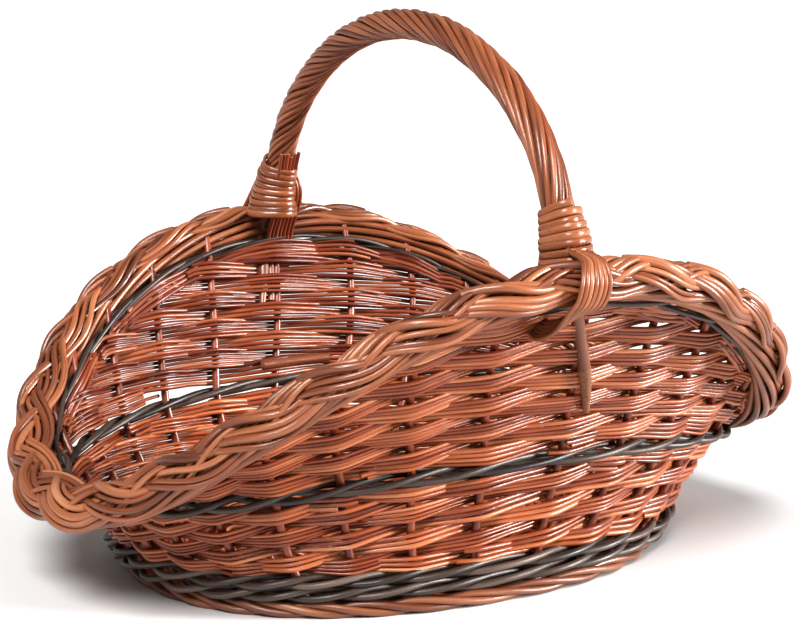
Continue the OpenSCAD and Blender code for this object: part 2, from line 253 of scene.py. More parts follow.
class Rods:
    """A set of rods that becomes one mesh. Face material 0 is bark, 1 is a cut end."""

    def __init__(self):
        self.points, self.grain, self.tone = [], [], []
        self.faces, self.materials = [], []
        self.count = 0

    def _keep(self, points, grain, tone):
        """Adds some points, and returns the number of the first."""
        start = self.count
        self.points.append(points)
        self.grain.append(grain)
        self.tone.append(np.full(len(points), tone))
        self.count += len(points)
        return start

    def rod(self, path, radius, sides, ref=None, closed=False, flat=1.0, pared=0):
        """A rod along path. radius is one number or one per point. flat squeezes the section
        along ref, which is a direction, or one per point, that is never along the path. The last
        pared rings show cut wood."""
        n = len(path)
        radius = np.broadcast_to(np.asarray(radius, float), (n,))
        if closed:
            ahead = np.roll(path, -1, axis=0) - np.roll(path, 1, axis=0)
        else:
            ahead = np.gradient(path, axis=0)
        ahead = unit(ahead)
        ref = np.broadcast_to(np.asarray([0, 0, 1.0] if ref is None else ref, float), (n, 3))
        a = unit(ref - (ref * ahead).sum(-1, keepdims=True) * ahead)
        b = np.cross(ahead, a)
        q = np.arange(sides) * 2 * math.pi / sides
        ring = flat * np.cos(q)[None, :, None] * a[:, None] + np.sin(q)[None, :, None] * b[:, None]
        points = path[:, None] + radius[:, None, None] * ring
        length = np.concatenate([[0], np.cumsum(np.linalg.norm(np.diff(path, axis=0), axis=1))])
        shift = rng.uniform(-500, 500, 3)
        grain = np.stack(np.broadcast_arrays(length[:, None] + shift[0],
                                             radius[:, None] * np.cos(q) + shift[1],
                                             radius[:, None] * np.sin(q) + shift[2]), -1)
        tone = rng.uniform()
        start = self._keep(points.reshape(-1, 3), grain.reshape(-1, 3), tone)
        rows = np.arange(n if closed else n - 1)
        i, j = np.meshgrid(rows, np.arange(sides), indexing="ij")
        k, m = (i + 1) % n, (j + 1) % sides
        quads = start + np.stack([i * sides + j, k * sides + j, k * sides + m, i * sides + m], -1)
        self.faces += quads.reshape(-1, 4).tolist()
        self.materials += [0] * ((len(rows) - pared) * sides) + [1] * (pared * sides)
        if not closed:
            self._cap(points[0], -ahead[0], radius[0], tone, True)
            self._cap(points[-1], ahead[-1], radius[-1], tone, False)

    def _cap(self, ring, outward, radius, tone, flip):
        """A cut end: a worn edge and a slightly domed face. flip is for the first end."""
        sides = len(ring)
        middle = ring.mean(axis=0)
        inner = middle + CAP_FACE * (ring - middle) + CAP_EDGE_RISE * radius * outward
        points = np.vstack([ring, inner, [middle + CAP_MIDDLE_RISE * radius * outward]])
        start = self._keep(points, points * 1.0, tone)
        for j in range(sides):
            k = (j + 1) % sides
            edge = [start + j, start + k, start + sides + k, start + sides + j]
            face = [start + sides + j, start + sides + k, start + 2 * sides]
            self.faces += [edge[::-1], face[::-1]] if flip else [edge, face]
            self.materials += [0, 1]

    def piece(self, name, bark, cut, nodes, slot):
        """Makes the mesh, and lets it stand for some CAD nodes."""
        mesh = bpy.data.meshes.new(name)
        mesh.from_pydata((np.vstack(self.points) * MM).tolist(), [], self.faces)
        mesh.polygons.foreach_set("material_index", self.materials)
        mesh.shade_smooth()
        grain = mesh.attributes.new("grain", "FLOAT_VECTOR", "POINT")
        grain.data.foreach_set("vector", np.vstack(self.grain).ravel())
        tone = mesh.attributes.new("tone", "FLOAT", "POINT")
        tone.data.foreach_set("value", np.concatenate(self.tone))
        mesh.materials.append(bark)
        mesh.materials.append(cut)
        piece = bpy.data.objects.new(name, mesh)
        bpy.context.scene.collection.objects.link(piece)
        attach(piece, "root")
        if nodes:
            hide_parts(*nodes)
        return piece


# ---------- materials ----------

def node(tree, kind, **inputs):
    """A new node with some of its inputs set."""
    made = tree.nodes.new(kind)
    for name, value in inputs.items():
        made.inputs[name.replace("_", " ")].default_value = value
    return made


def grain_noise(tree, coordinates, scale, detail, roughness=0.55):
    """Noise in the rod's own coordinates. scale is per millimetre: along, across, across."""
    mapping = node(tree, "ShaderNodeMapping", Scale=scale)
    noise = node(tree, "ShaderNodeTexNoise", Scale=1.0, Detail=detail, Roughness=roughness)
    tree.links.new(coordinates, mapping.inputs["Vector"])
    tree.links.new(mapping.outputs["Vector"], noise.inputs["Vector"])
    return noise.outputs["Fac"]


def maths(tree, operation, a, b):
    """The result of a Math node. a and b are numbers or sockets."""
    made = tree.nodes.new("ShaderNodeMath")
    made.operation = operation
    for socket, value in zip(made.inputs, (a, b)):
        if isinstance(value, (int, float)):
            socket.default_value = value
        else:
            tree.links.new(value, socket)
    return made.outputs[0]


def ramp(tree, factor, stops):
    """The colour of a colour ramp with some (position, colour) stops."""
    made = tree.nodes.new("ShaderNodeValToRGB")
    elements = made.color_ramp.elements
    while len(elements) < len(stops):
        elements.new(0.5)
    for element, (position, colour) in zip(elements, stops):
        element.position = position
        element.color = (*colour, 1)
    tree.links.new(factor, made.inputs["Fac"])
    return made.outputs["Color"]


SPECK_SHADE = 0.35              # a speck's colour, as a share of the darkest bark


def willow(name, colours, gloss=0.38, speck=0.35, tone_weight=0.5):
    """Bark of a willow rod: colours from dark to light, streaks along the rod, a tone of its own
    for each rod, dark specks and buds, and a soft shine. gloss is the mean roughness."""
    material = bpy.data.materials.new(name)
    material.use_nodes = True
    tree = material.node_tree
    shader = tree.nodes["Principled BSDF"]
    place = tree.nodes.new("ShaderNodeAttribute")
    place.attribute_name = "grain"
    tone = tree.nodes.new("ShaderNodeAttribute")
    tone.attribute_name = "tone"
    at = place.outputs["Vector"]
    streaks = grain_noise(tree, at, (0.03, 0.9, 0.9), 3)
    patches = grain_noise(tree, at, (0.012, 0.10, 0.10), 2)
    fine = grain_noise(tree, at, (0.15, 3.0, 3.0), 2, 0.7)
    mixed = maths(tree, "ADD", maths(tree, "MULTIPLY", streaks, 0.45),
                  maths(tree, "MULTIPLY", patches, 0.75))
    level = maths(tree, "ADD", mixed, maths(tree, "MULTIPLY", tone.outputs["Fac"], tone_weight))
    level = maths(tree, "SUBTRACT", level, 0.1 + tone_weight / 2)
    bark = ramp(tree, level, list(zip((0.22, 0.45, 0.62, 0.85), colours)))
    specks = grain_noise(tree, at, (0.35, 0.8, 0.8), 1)
    spot = ramp(tree, specks, [(0.69, (0, 0, 0)), (0.76, (speck,) * 3)])
    darken = node(tree, "ShaderNodeMix")
    darken.data_type = "RGBA"
    tree.links.new(spot, darken.inputs["Factor"])
    under, over = [socket for socket in darken.inputs if socket.type == "RGBA"]
    tree.links.new(bark, under)
    over.default_value = (*[SPECK_SHADE * c for c in colours[0]], 1)
    speckled = [socket for socket in darken.outputs if socket.type == "RGBA"][0]
    tree.links.new(speckled, shader.inputs["Base Color"])
    rough = maths(tree, "ADD", maths(tree, "MULTIPLY", streaks, 0.28), gloss - 0.14)
    tree.links.new(rough, shader.inputs["Roughness"])
    shader.inputs["Specular IOR Level"].default_value = 0.85
    bump = node(tree, "ShaderNodeBump", Strength=0.55, Distance=0.0006)
    height = maths(tree, "ADD", maths(tree, "MULTIPLY", streaks, 0.6),
                   maths(tree, "MULTIPLY", fine, 0.25))
    tree.links.new(height, bump.inputs["Height"])
    tree.links.new(bump.outputs["Normal"], shader.inputs["Normal"])
    return material


def cut_wood(name, inner, outer):
    """The pale face of a cut rod, mottled with a darker colour."""
    material = bpy.data.materials.new(name)
    material.use_nodes = True
    tree = material.node_tree
    shader = tree.nodes["Principled BSDF"]
    place = tree.nodes.new("ShaderNodeAttribute")
    place.attribute_name = "grain"
    grain = grain_noise(tree, place.outputs["Vector"], (1.2, 1.2, 1.2), 4)
    tree.links.new(ramp(tree, grain, [(0.35, inner), (0.65, outer)]), shader.inputs["Base Color"])
    shader.inputs["Roughness"].default_value = 0.75
    bump = node(tree, "ShaderNodeBump", Strength=0.5, Distance=0.0003)
    tree.links.new(grain, bump.inputs["Height"])
    tree.links.new(bump.outputs["Normal"], shader.inputs["Normal"])
    return material


LIGHT = willow("light_willow",
               ((0.125, 0.018, 0.004), (0.290, 0.064, 0.017),
                (0.435, 0.130, 0.045), (0.610, 0.265, 0.130)), 0.32, tone_weight=0.34)
# A darker, redder copy of the light willow for the back wall's siding: painted shade for the shade
# that falls inside the basket.
SHADED_BACK_WILLOW = willow("shaded_red_willow",
             ((0.075, 0.009, 0.002), (0.180, 0.032, 0.008),
              (0.285, 0.072, 0.024), (0.440, 0.180, 0.086)), 0.36, tone_weight=0.34)
EDGE = willow("edge_willow",
              ((0.100, 0.023, 0.008), (0.250, 0.077, 0.028),
               (0.370, 0.132, 0.054), (0.540, 0.240, 0.120)), 0.32, tone_weight=0.34)
DEEP = willow("deep_willow",
              ((0.090, 0.013, 0.004), (0.210, 0.038, 0.010),
               (0.290, 0.064, 0.020), (0.380, 0.120, 0.046)), 0.34, tone_weight=0.30)
# Dark willow for the foot border's rods: painted shade for the shade near the floor.
FOOT_SHADED_WILLOW = willow("foot_shaded_willow",
               ((0.060, 0.016, 0.005), (0.155, 0.044, 0.016),
                (0.225, 0.074, 0.028), (0.320, 0.130, 0.058)))
ROPE = willow("rope_willow",
              ((0.110, 0.025, 0.008), (0.270, 0.082, 0.030),
               (0.370, 0.130, 0.053), (0.530, 0.230, 0.112)), 0.30, tone_weight=0.22)
PALE = willow("pale_willow",
              ((0.130, 0.034, 0.013), (0.300, 0.100, 0.039),
               (0.410, 0.150, 0.065), (0.580, 0.270, 0.140)), 0.26, tone_weight=0.20)
DARK = willow("dark_willow",
              ((0.012, 0.006, 0.004), (0.034, 0.019, 0.012),
               (0.066, 0.040, 0.028), (0.140, 0.094, 0.070)), 0.44, speck=0.2)
CUT = cut_wood("cut_ends", (0.16, 0.06, 0.025), (0.36, 0.18, 0.095))
CUT_DARK = cut_wood("dark_cut_ends", (0.08, 0.04, 0.025), (0.22, 0.13, 0.08))


# ---------- stakes ----------

STAKE_FOOT_Z = 5.0              # height of a stake's lower end
STAKE_TOP_AT = 2.0              # its upper end, down from the rim line


def stakes(name, first, nodes):
    """A quarter of the stakes, from number first. They taper a little towards the rim."""
    rods = Rods()
    for k in range(first, first + STAKES // 4):
        at = np.array([(k + 0.5) * STAKE_STEP])
        foot = float(u_height(at, STAKE_FOOT_Z)[0])
        top = float(u_above(at, upper_len(at) - STAKE_TOP_AT)[0])
        u = np.linspace(foot, top, 24)
        t = stake_angle(k, u)
        normal = wall_normal(t, u)
        path = wall(t, u) + rng.normal(0, 0.2) * normal
        radius = np.linspace(STAKE_R * rng.uniform(0.95, 1.1), STAKE_R * 0.9, len(u))
        rods.rod(path, radius, 12, normal)
    return rods.piece(name, DEEP, CUT, nodes, "deep_willow")


# ---------- siding ----------

WEAVE_SHARP = 0.95              # 0 bends a weaver like a wave, 1 runs it straight between stakes
WEAVE_FLAT = 0.28               # how much flatter the weave is at the right end


def weave(kappa, parity):
    """From -1, behind the stakes, to 1, in front of them, as a rod passes them in turn."""
    return parity * np.arcsin(WEAVE_SHARP * np.cos(math.pi * kappa)) / math.asin(WEAVE_SHARP)


def siding_rod(rods, t, s, parity, radius):
    """One weaver at heights s above the waist, in front of and behind the stakes by turns."""
    u = u_above(t, s)
    wave = weave(stake_index(t, u), parity)
    reach = (STAKE_R + radius + 0.2) * (1 - WEAVE_FLAT * to_right(t))
    out = wave * reach + wander(len(t), 9, 0.3)
    normal = wall_normal(t, u)
    rods.rod(wall(t, u) + out[:, None] * normal, radius, 8, normal)


BUNDLE_ROD = 0.55               # radius of its rods, as a share of each one's room
BUNDLE_FAN = 0.18               # how much a bundle widens where it passes a stake
BUNDLE_FAN_RIGHT = 0.22         # and towards the right end


def bundle(rods, t, middle, height, parity, count, full=1.0):
    """Thin rods side by side, all in front of the same stakes. full widens the whole bundle."""
    radius = np.broadcast_to(BUNDLE_ROD * full * height / count, t.shape)
    at_stake = np.abs(weave(stake_index(t, u_above(t, middle)), 1))
    for i in range(count):
        lie = (i + 0.5) / count - 0.5
        spread = full * (1.04 + BUNDLE_FAN * at_stake + wander(len(t), 10, 0.04))
        spread = spread + BUNDLE_FAN_RIGHT * to_right(t)
        s = middle + height * lie * spread + wander(len(t), 8, 0.12)
        own = slice(int(rng.integers(0, 5)), len(t) - int(rng.integers(0, 5)))
        siding_rod(rods, t[own], s[own], parity, radius[own] * rng.uniform(0.88, 1.08))


LOWER_ROWS = 6
LOWER_CLIMB = 0.5               # rows that a weaver climbs from one stake to the next
LOWER_LAP = 1.4                 # stakes that a bundle runs on at its two ends
LOWER_EDGE = 0.42               # the middle of a bundle stays this many rows inside the siding
LOWER_FOUR = 0.4                # share of the bundles that have four rods and not three


def lower_siding():
    """Bundles that climb from the foot to the waist as they go round."""
    rods = Rods()
    stakes_up = LOWER_ROWS / LOWER_CLIMB
    for j in range(int(STAKES * LOWER_CLIMB)):
        first = j / LOWER_CLIMB
        kappa = np.arange(first - LOWER_LAP, first + stakes_up + LOWER_LAP, 0.1)
        t = (kappa + 0.5) * STAKE_STEP
        top = -WAIST_HALF_H - 0.5
        bottom = (u_foot(t, FOOT_TOP) - waist_u(t)) * (lower_len(t) + upper_len(t))
        pitch = (top - bottom) / LOWER_ROWS
        row = np.clip((kappa - first) * LOWER_CLIMB, LOWER_EDGE, LOWER_ROWS - LOWER_EDGE)
        middle = bottom + pitch * row + wander(len(t), 14, 0.4)
        count = 3 + int(rng.uniform() < LOWER_FOUR)
        bundle(rods, t, middle, pitch, 1 if j % 2 else -1, count)
    return rods.piece("lower_siding_weave", LIGHT, CUT, ["lower_siding"], "light_willow")


UPPER_PITCH = 10.4              # about the height of a row
UPPER_CLIMB = 0.4               # as LOWER_CLIMB
UPPER_SPAN = 88                 # degrees either way from the handle
UPPER_PHASE = {1: -0.45, -1: 0.0}   # rows by which the bundles are shifted: back, front
UPPER_FULL = 1.12               # how much wider a bundle is than its row
UPPER_EARLY = 2.3               # stakes that a bundle runs along the wale before it climbs
UPPER_FOUR = 0.7                # share of the bundles that have four rods and not five
GAP_BUNDLE = -1                 # at the back, this one starts late and leaves a gap above the wale
GAP_EARLY = 1.0
RIM_ROWS = 1                    # rows that run beside the rim; the others climb up to them
LOWEST_ROW = 0.45               # a bundle that runs along the wale, in rows above it
HIGHEST_ROW = 0.55              # the end of the climb, in rows below the siding's upper edge
END_LATE = 0.8                  # rows of climb that a bundle runs on there
SHORTEST = 8                    # steps of t; a shorter stretch is left out


def runs_of(present):
    """First and last index of each unbroken run of true values."""
    edges = np.flatnonzero(np.diff(np.concatenate([[0], present.astype(int), [0]])))
    return list(zip(edges[::2], edges[1::2] - 1))


def upper_siding(name, side, bark, nodes):
    """The built-up side: climbing bundles that end at a row beside the rim. side is 1 at the
    back and -1 at the front."""
    rods = Rods()
    t = 90 * side + np.linspace(-UPPER_SPAN, UPPER_SPAN, 158)
    start = WAIST_HALF_H
    room = upper_len(t) - TOP_WALE_AT[side] - SIDING_DOWN - start
    rows = round(room.max() / UPPER_PITCH)
    pitch = room.max() / rows
    for from_top in range(RIM_ROWS):
        s = start + room - pitch * (from_top + 0.5) + wander(len(t), 12, 0.3)
        for first, last in runs_of(s > start + 0.1 * pitch):
            part = slice(first, last + 1)
            bundle(rods, t[part], s[part], pitch, 1 if from_top % 2 else -1, 4, UPPER_FULL)
    turns = UPPER_CLIMB * (t - 90 * side) / STAKE_STEP + UPPER_PHASE[side]
    reach = int(UPPER_CLIMB * UPPER_SPAN / STAKE_STEP) + 1
    ceiling = start + room - HIGHEST_ROW * pitch
    for j in range(-reach, rows + reach):
        row = turns + j + 0.5
        s = start + pitch * np.maximum(row, LOWEST_ROW)
        early = GAP_EARLY if j == GAP_BUNDLE and side > 0 else UPPER_EARLY
        begun = row > LOWEST_ROW - early * UPPER_CLIMB
        present = begun & (s < ceiling + END_LATE * pitch) & (ceiling > start)
        s = np.minimum(s, ceiling) + wander(len(t), 14, 0.4)
        count = 4 if rng.uniform() < UPPER_FOUR else 5
        for first, last in runs_of(present):
            if last - first > SHORTEST:
                part = slice(first, last + 1)
                bundle(rods, t[part], s[part], pitch, 1 if j % 2 else -1, count, UPPER_FULL)
    return rods.piece(name, bark, CUT, nodes, "light_willow")


# ---------- dark wales ----------

WALE_RODS = 3
OFF_FLOOR = 0.4                 # the least gap between a wale and the floor
WALE_START = 20.0               # the angle at which the wales begin and end, near the right end


def wale_round(rods, t, s, rod_r, rise):
    """A wale: each rod passes in front of two stakes and behind the third, and the rods
    climb over each other, so that the outside looks like a rope."""
    kappa = stake_index(t, u_above(t, s))
    reach = STAKE_R + rod_r - 0.1
    for m in range(WALE_RODS):
        turn = 2 * math.pi * (kappa + 0.5 + m) / WALE_RODS
        out = (0.33 + 1.33 * np.cos(turn)) * reach + wander(len(t), 12, 0.15)
        lift = rise * np.sin(turn) + wander(len(t), 15, 0.25)
        uu = u_above(t, s + lift)
        normal = wall_normal(t, uu)
        path = wall(t, uu) + out[:, None] * normal
        path[:, 2] = np.maximum(path[:, 2], rod_r + OFF_FLOOR)
        rods.rod(path, rod_r * rng.uniform(0.95, 1.05), 10, normal)


# For each wale: radius of its rods, and how far they climb to either side of its middle
FOOT_ROD_R, FOOT_RISE = 2.25, 2.5
WAIST_ROD_R, WAIST_RISE = 2.2, 2.2
TOP_ROD_R, TOP_RISE = 1.7, 1.6
FOOT_ROUNDS_AT = ((14.2, 16.6), (22.6, 23.5))   # above the base: at the sides, at the right end
FOOT_SHORT_AT = (9.5, 9.5)
FOOT_SHORT_SPAN = 42            # degrees either way from the right end
TOP_SPAN = 80                   # degrees either way from the handle
TOP_LOWEST = 5                  # a top wale ends where it comes this close to the waist


def foot_wale():
    """Two rounds, and a short one that fills the wide space at the right end."""
    rods = Rods()
    whole = np.linspace(WALE_START, WALE_START + 360, STAKES * 9)
    short = np.linspace(-FOOT_SHORT_SPAN, FOOT_SHORT_SPAN, 68)
    rounds = [(whole, place) for place in FOOT_ROUNDS_AT] + [(short, FOOT_SHORT_AT)]
    for t, (side_d, end_d) in rounds:
        d = side_d + (end_d - side_d) * to_right(t) ** 3
        s = (u_foot(t, d) - waist_u(t)) * (lower_len(t) + upper_len(t))
        wale_round(rods, t, s, FOOT_ROD_R, FOOT_RISE)
    return rods.piece("foot_wale_rods", DARK, CUT_DARK, ["foot_wale"], "dark_willow")


def waist_wale():
    """One round, along the waist."""
    rods = Rods()
    t = np.linspace(WALE_START, WALE_START + 360, STAKES * 9)
    wale_round(rods, t, 0 * t, WAIST_ROD_R, WAIST_RISE)
    return rods.piece("waist_wale_rods", DARK, CUT_DARK, ["waist_wale"], "dark_willow")


def top_wale(name, side, nodes):
    """One round below the border, as far as the wall is high enough."""
    rods = Rods()
    t = 90 * side + np.linspace(-TOP_SPAN, TOP_SPAN, 320)
    t = t[upper_len(t) > TOP_WALE_AT[side] + TOP_LOWEST]
    wale_round(rods, t, upper_len(t) - TOP_WALE_AT[side], TOP_ROD_R, TOP_RISE)
    return rods.piece(name, DARK, CUT_DARK, nodes, "dark_willow")


# ---------- foot border ----------

def foot_border():
    """Three stout rods laid as a rope under the foot wale."""
    rods = Rods()
    t = np.linspace(0, 360, 481)[:-1]
    line = base_line(t)
    out = unit(np.stack([line[:, 0] - BASE_MID[0], line[:, 1] - BASE_MID[1], 0 * t], -1))
    rod_r, lay_r, turns = 2.4, 2.75, 11
    outside = 3.5
    middle = line + outside * out + np.array([0, 0, rod_r + lay_r])
    up = np.array([0, 0, 1.0])
    for m in range(3):
        turn = -np.radians(turns * t) + 2 * math.pi * m / 3
        path = middle + lay_r * (np.cos(turn)[:, None] * out + np.sin(turn)[:, None] * up)
        rods.rod(path, rod_r, 12, out, closed=True)
    # These rods take the darker foot willow: painted shade near the floor.
    return rods.piece("foot_border_rods", FOOT_SHADED_WILLOW, CUT, ["foot_border"], "light_willow")


# ---------- plaited border ----------

BRAID_R = 11.6                  # mean radius of the plait round the border's middle
BRAID_END_R = 3.0               # more at the left end
BRAID_WIDE = 9.8                # how far a strand swings to either side
BRAID_HIGH = 2.6                # how far it rises and dips
BRAID_SHARP = 0.84              # 0 bends a strand like a wave, 1 runs it straight from side to side
BRAID_TURNS = 10                # swings of a strand on its way round
BRAID_FACE = math.radians(52)   # the plait faces out and up
STRAND_RODS = 5
ROD_GAP = 3.75                  # between neighbouring rods of a strand
BUTT_R = 3.2                    # a rod's thick end
BUTT_LONG = 1.3                 # how far it can be followed, in spacings


def trace_border():
    """Points of the border's middle all round, the way along them, and the plait's bulk there."""
    t = np.linspace(0, 360, 1441)
    left = np.maximum(0, -np.cos(np.radians(t))) ** 4
    right = to_right(t) ** 2
    out = BORDER_OUT - BORDER_END_IN[0] * left - BORDER_END_IN[1] * right
    rim = np.ones_like(t)
    line = wall(t, rim) + out[:, None] * wall_normal(t, rim)
    line[:, 2] -= BORDER_END_DROP[0] * left + BORDER_END_DROP[1] * right
    step = np.linalg.norm(np.diff(line, axis=0), axis=1)
    return line, np.concatenate([[0], np.cumsum(step)]), BRAID_R + BRAID_END_R * left


BORDER_LINE, BORDER_AT, BORDER_BULK = trace_border()
BORDER_LEN = BORDER_AT[-1]


def border_mid(at):
    """The middle of the border at distance at round it, from the right end."""
    at = np.mod(at, BORDER_LEN)
    return np.stack([np.interp(at, BORDER_AT, BORDER_LINE[:, i]) for i in range(3)], -1)


def border_frame(at):
    """The border's middle, and its outward and upward directions."""
    ahead = unit(border_mid(at + 2.0) - border_mid(at - 2.0))
    up = unit(np.array([0, 0, 1.0]) - ahead[..., 2:3] * ahead)
    return border_mid(at), np.cross(ahead, up), up


def border_point(at, side, height):
    """A point of the plait: side runs round the border from its inner to its outer edge."""
    middle, out, up = border_frame(at)
    bulk = np.interp(np.mod(at, BORDER_LEN), BORDER_AT, BORDER_BULK)
    angle = (BRAID_FACE - side / BRAID_R)[..., None]
    radial = np.cos(angle) * out + np.sin(angle) * up
    return middle + (bulk + height)[..., None] * radial, radial


def strand_line(at, strand):
    """Side, height and slope of a strand of the plait."""
    k = 2 * math.pi * BRAID_TURNS / BORDER_LEN
    turn = k * at + 2 * math.pi * strand / 3
    swing = BRAID_WIDE / math.asin(BRAID_SHARP)
    side = swing * np.arcsin(BRAID_SHARP * np.sin(turn))
    bend = np.sqrt(1 - (BRAID_SHARP * np.sin(turn)) ** 2)
    slope = swing * k * BRAID_SHARP * np.cos(turn) / bend
    return side, BRAID_HIGH * np.sin(2 * turn), slope


def border_rod(rods, at, strand, place, radius, lift, closed=False):
    """One rod of a strand, place millimetres to the side of the strand's middle."""
    side, height, slope = strand_line(at, strand)
    run = 1 / np.sqrt(1 + slope ** 2)
    path, radial = border_point(at - place * slope * run, side + place * run, height + lift)
    rods.rod(path, radius, 10, radial, closed)


def closed_wander(n, step, size):
    """A wander that comes back to its first value."""
    values = wander(n, step, size)
    return values + np.linspace(0, 1, n) * (values[0] - values[-1])


def border_strand(strand):
    """One strand of the plait, with all its rods."""
    rods = Rods()
    at = np.linspace(0, BORDER_LEN, 1201)[:-1]
    for i in range(STRAND_RODS):
        place = (i - (STRAND_RODS - 1) / 2) * ROD_GAP + closed_wander(len(at), 30, 0.5)
        lift = closed_wander(len(at), 25, 0.35)
        radius = np.clip(2.05 + closed_wander(len(at), 70, 0.25), 1.6, 2.6)
        border_rod(rods, at, strand, place, radius, lift, True)
    number = strand + 1
    return rods.piece(f"border_plait_{number}", EDGE, CUT, [f"border_strand_{number}"], "light_willow")


def border_ends():
    """Butts of the rods: each starts with a blunt cut end on the border's upper inner side,
    lies along a strand for a while and sinks below the next one."""
    rods = Rods()
    spacing = BORDER_LEN / (3 * BRAID_TURNS)
    f = np.linspace(0, 1, 40)
    for n in range(3 * BRAID_TURNS):
        strand = (-n) % 3
        first = (n - 0.10) * spacing + rng.uniform(-4, 4)
        at = first + BUTT_LONG * spacing * f
        place = rng.uniform(-1, 1) - 1.3 * ROD_GAP + 1.0 * f
        lift = np.interp(f, [0, 0.3, 1], [3.6, 2.4, -3.0])
        radius = BUTT_R * rng.uniform(0.85, 1.08) * np.interp(f, [0, 1], [1.0, 0.75])
        border_rod(rods, at, strand, place, radius, lift)
    return rods.piece("border_rod_ends", EDGE, CUT, ["border_cut_ends"], "light_willow")


CORE_RODS = 9
CORE_TURNS = 3
CORE_LAY_R = 8.6                # from the border's middle to the middles of these rods
CORE_ROD_R = 2.5


def border_core():
    """Rods inside the plait, seen only between its strands."""
    rods = Rods()
    at = np.linspace(0, BORDER_LEN, 601)[:-1]
    middle, out, up = border_frame(at)
    for i in range(CORE_RODS):
        turn = 2 * math.pi * (CORE_TURNS * at / BORDER_LEN + i / CORE_RODS)
        r = CORE_LAY_R + closed_wander(len(at), 20, 0.4)
        path = middle + r[:, None] * (np.cos(turn)[:, None] * out + np.sin(turn)[:, None] * up)
        rods.rod(path, CORE_ROD_R, 8, up, closed=True)
    return rods.piece("border_core_rods", EDGE, CUT, [], "deep_willow")


# ---------- handle ----------

ROPE_RODS = 12
ROPE_ROD_R = 2.15
ROPE_LAY_R = ROPE_R - ROPE_ROD_R + 0.2
ROPE_TURNS = 3.5
ROPE_START, ROPE_SPAN = 2, 174  # arch angles


def bow_end(side):
    """The bow's path down the wall, from the rim to its slanted end in the weave."""
    if side > 0:
        t = np.array([92.0, 93.0, 94.2, 96.0])
        s = upper_len(t) * np.array([0.97, 0.85, 0.68, 0.46])
    else:
        t = np.array([-91.0, -89.8, -87.8, -85.5, -83.4])
        s = upper_len(t) * np.array([0.97, 0.80, 0.62, 0.42, 0.25])
    u = u_above(t, s)
    out = 1.5 if side > 0 else np.array([[1.5], [1.0], [3.0], [7.0], [8.0]])
    return wall(t, u) + out * wall_normal(t, u)


BOW_END_R = (4.3, 4.4)          # radius of the bow's end, and just above the border
SLYPE_RINGS = 6                 # rings of the bow's mesh along its slanted cut
SLYPE_IN = 3.2                  # how far the cut's tip stands back from the stick's middle
SLYPE_THIN = 0.5                # share of the radius that is gone at the tip


def slype(path, radius, inward):
    """Pares the last points of a stick down to a slanted face."""
    f = np.linspace(0, 1, SLYPE_RINGS)
    path[-SLYPE_RINGS:] += inward * SLYPE_IN * f[:, None]
    radius[-SLYPE_RINGS:] *= 1 - SLYPE_THIN * f


def bow():
    """The thick stick inside the handle, down to its slanted cut ends in the weave, and two
    sticks beside it in the back wall."""
    rods = Rods()
    middle = arch(np.linspace(4, 176, 60))
    path = smooth_path(np.vstack([bow_end(1)[::-1], middle, bow_end(-1)]), 300)
    radius = np.interp(path[:, 2], [150, 215, 235], [*BOW_END_R, ROPE_LAY_R - ROPE_ROD_R + 0.2])
    slype(path, radius, np.array([0, 1.0, 0]))
    slype(path[::-1], radius[::-1], np.array([0, -1.0, 0]))
    rods.rod(path, radius, 16, [1, 0, 0], pared=SLYPE_RINGS)
    t = np.linspace(91.5, 94.0, 20)
    u = u_above(t, upper_len(t) * np.linspace(0.95, 0.5, 20))
    rods.rod(wall(t, u) + 1.0 * wall_normal(t, u), 2.7, 12, [1, 0, 0])
    t = np.linspace(87.5, 98.0, 30)
    u = u_above(t, 13.0 + 0 * t)
    rods.rod(wall(t, u) - 4.6 * wall_normal(t, u), 3.4, 12)
    return rods.piece("handle_bow_stick", EDGE, CUT, ["handle_bow"], "deep_willow")


def rope(name, first, nodes, slot):
    """Every other rod of the rope, from the back leg to the front leg. It turns faster at the
    back."""
    rods = Rods()
    f = np.linspace(0, 1, 260)
    a = ROPE_START + ROPE_SPAN * f
    for k in range(first, ROPE_RODS, 2):
        turn = 2 * math.pi * (ROPE_TURNS * f * (1.6 - 0.6 * f) + k / ROPE_RODS)
        turn = turn + wander(len(f), 45, 0.06)
        lay = ROPE_LAY_R + wander(len(f), 30, 0.25)
        side = np.array([1.0, 0, 0])
        path = arch(a) + lay[:, None] * (np.cos(turn)[:, None] * arch_out(a)
                                         - np.sin(turn)[:, None] * side)
        radius = ROPE_ROD_R * rng.uniform(0.9, 1.04) + wander(len(f), 60, 0.08)
        rods.rod(path, radius, 10, side)
    return rods.piece(name, ROPE, CUT, nodes, slot)


BIND_TURNS = 9
BIND_SPAN = {1: (-4.5, 12.5), -1: (0.3, 16.2)}      # arch angles of its lower and upper edge
BIND_R = {1: (19.3, 12.8), -1: (18.3, 12.2)}        # radius at the lower and upper edge
BIND_SHIFT = {1: (-3.0, 4.5), -1: (1.5, -1.5)}      # of the lower edge, along x and y


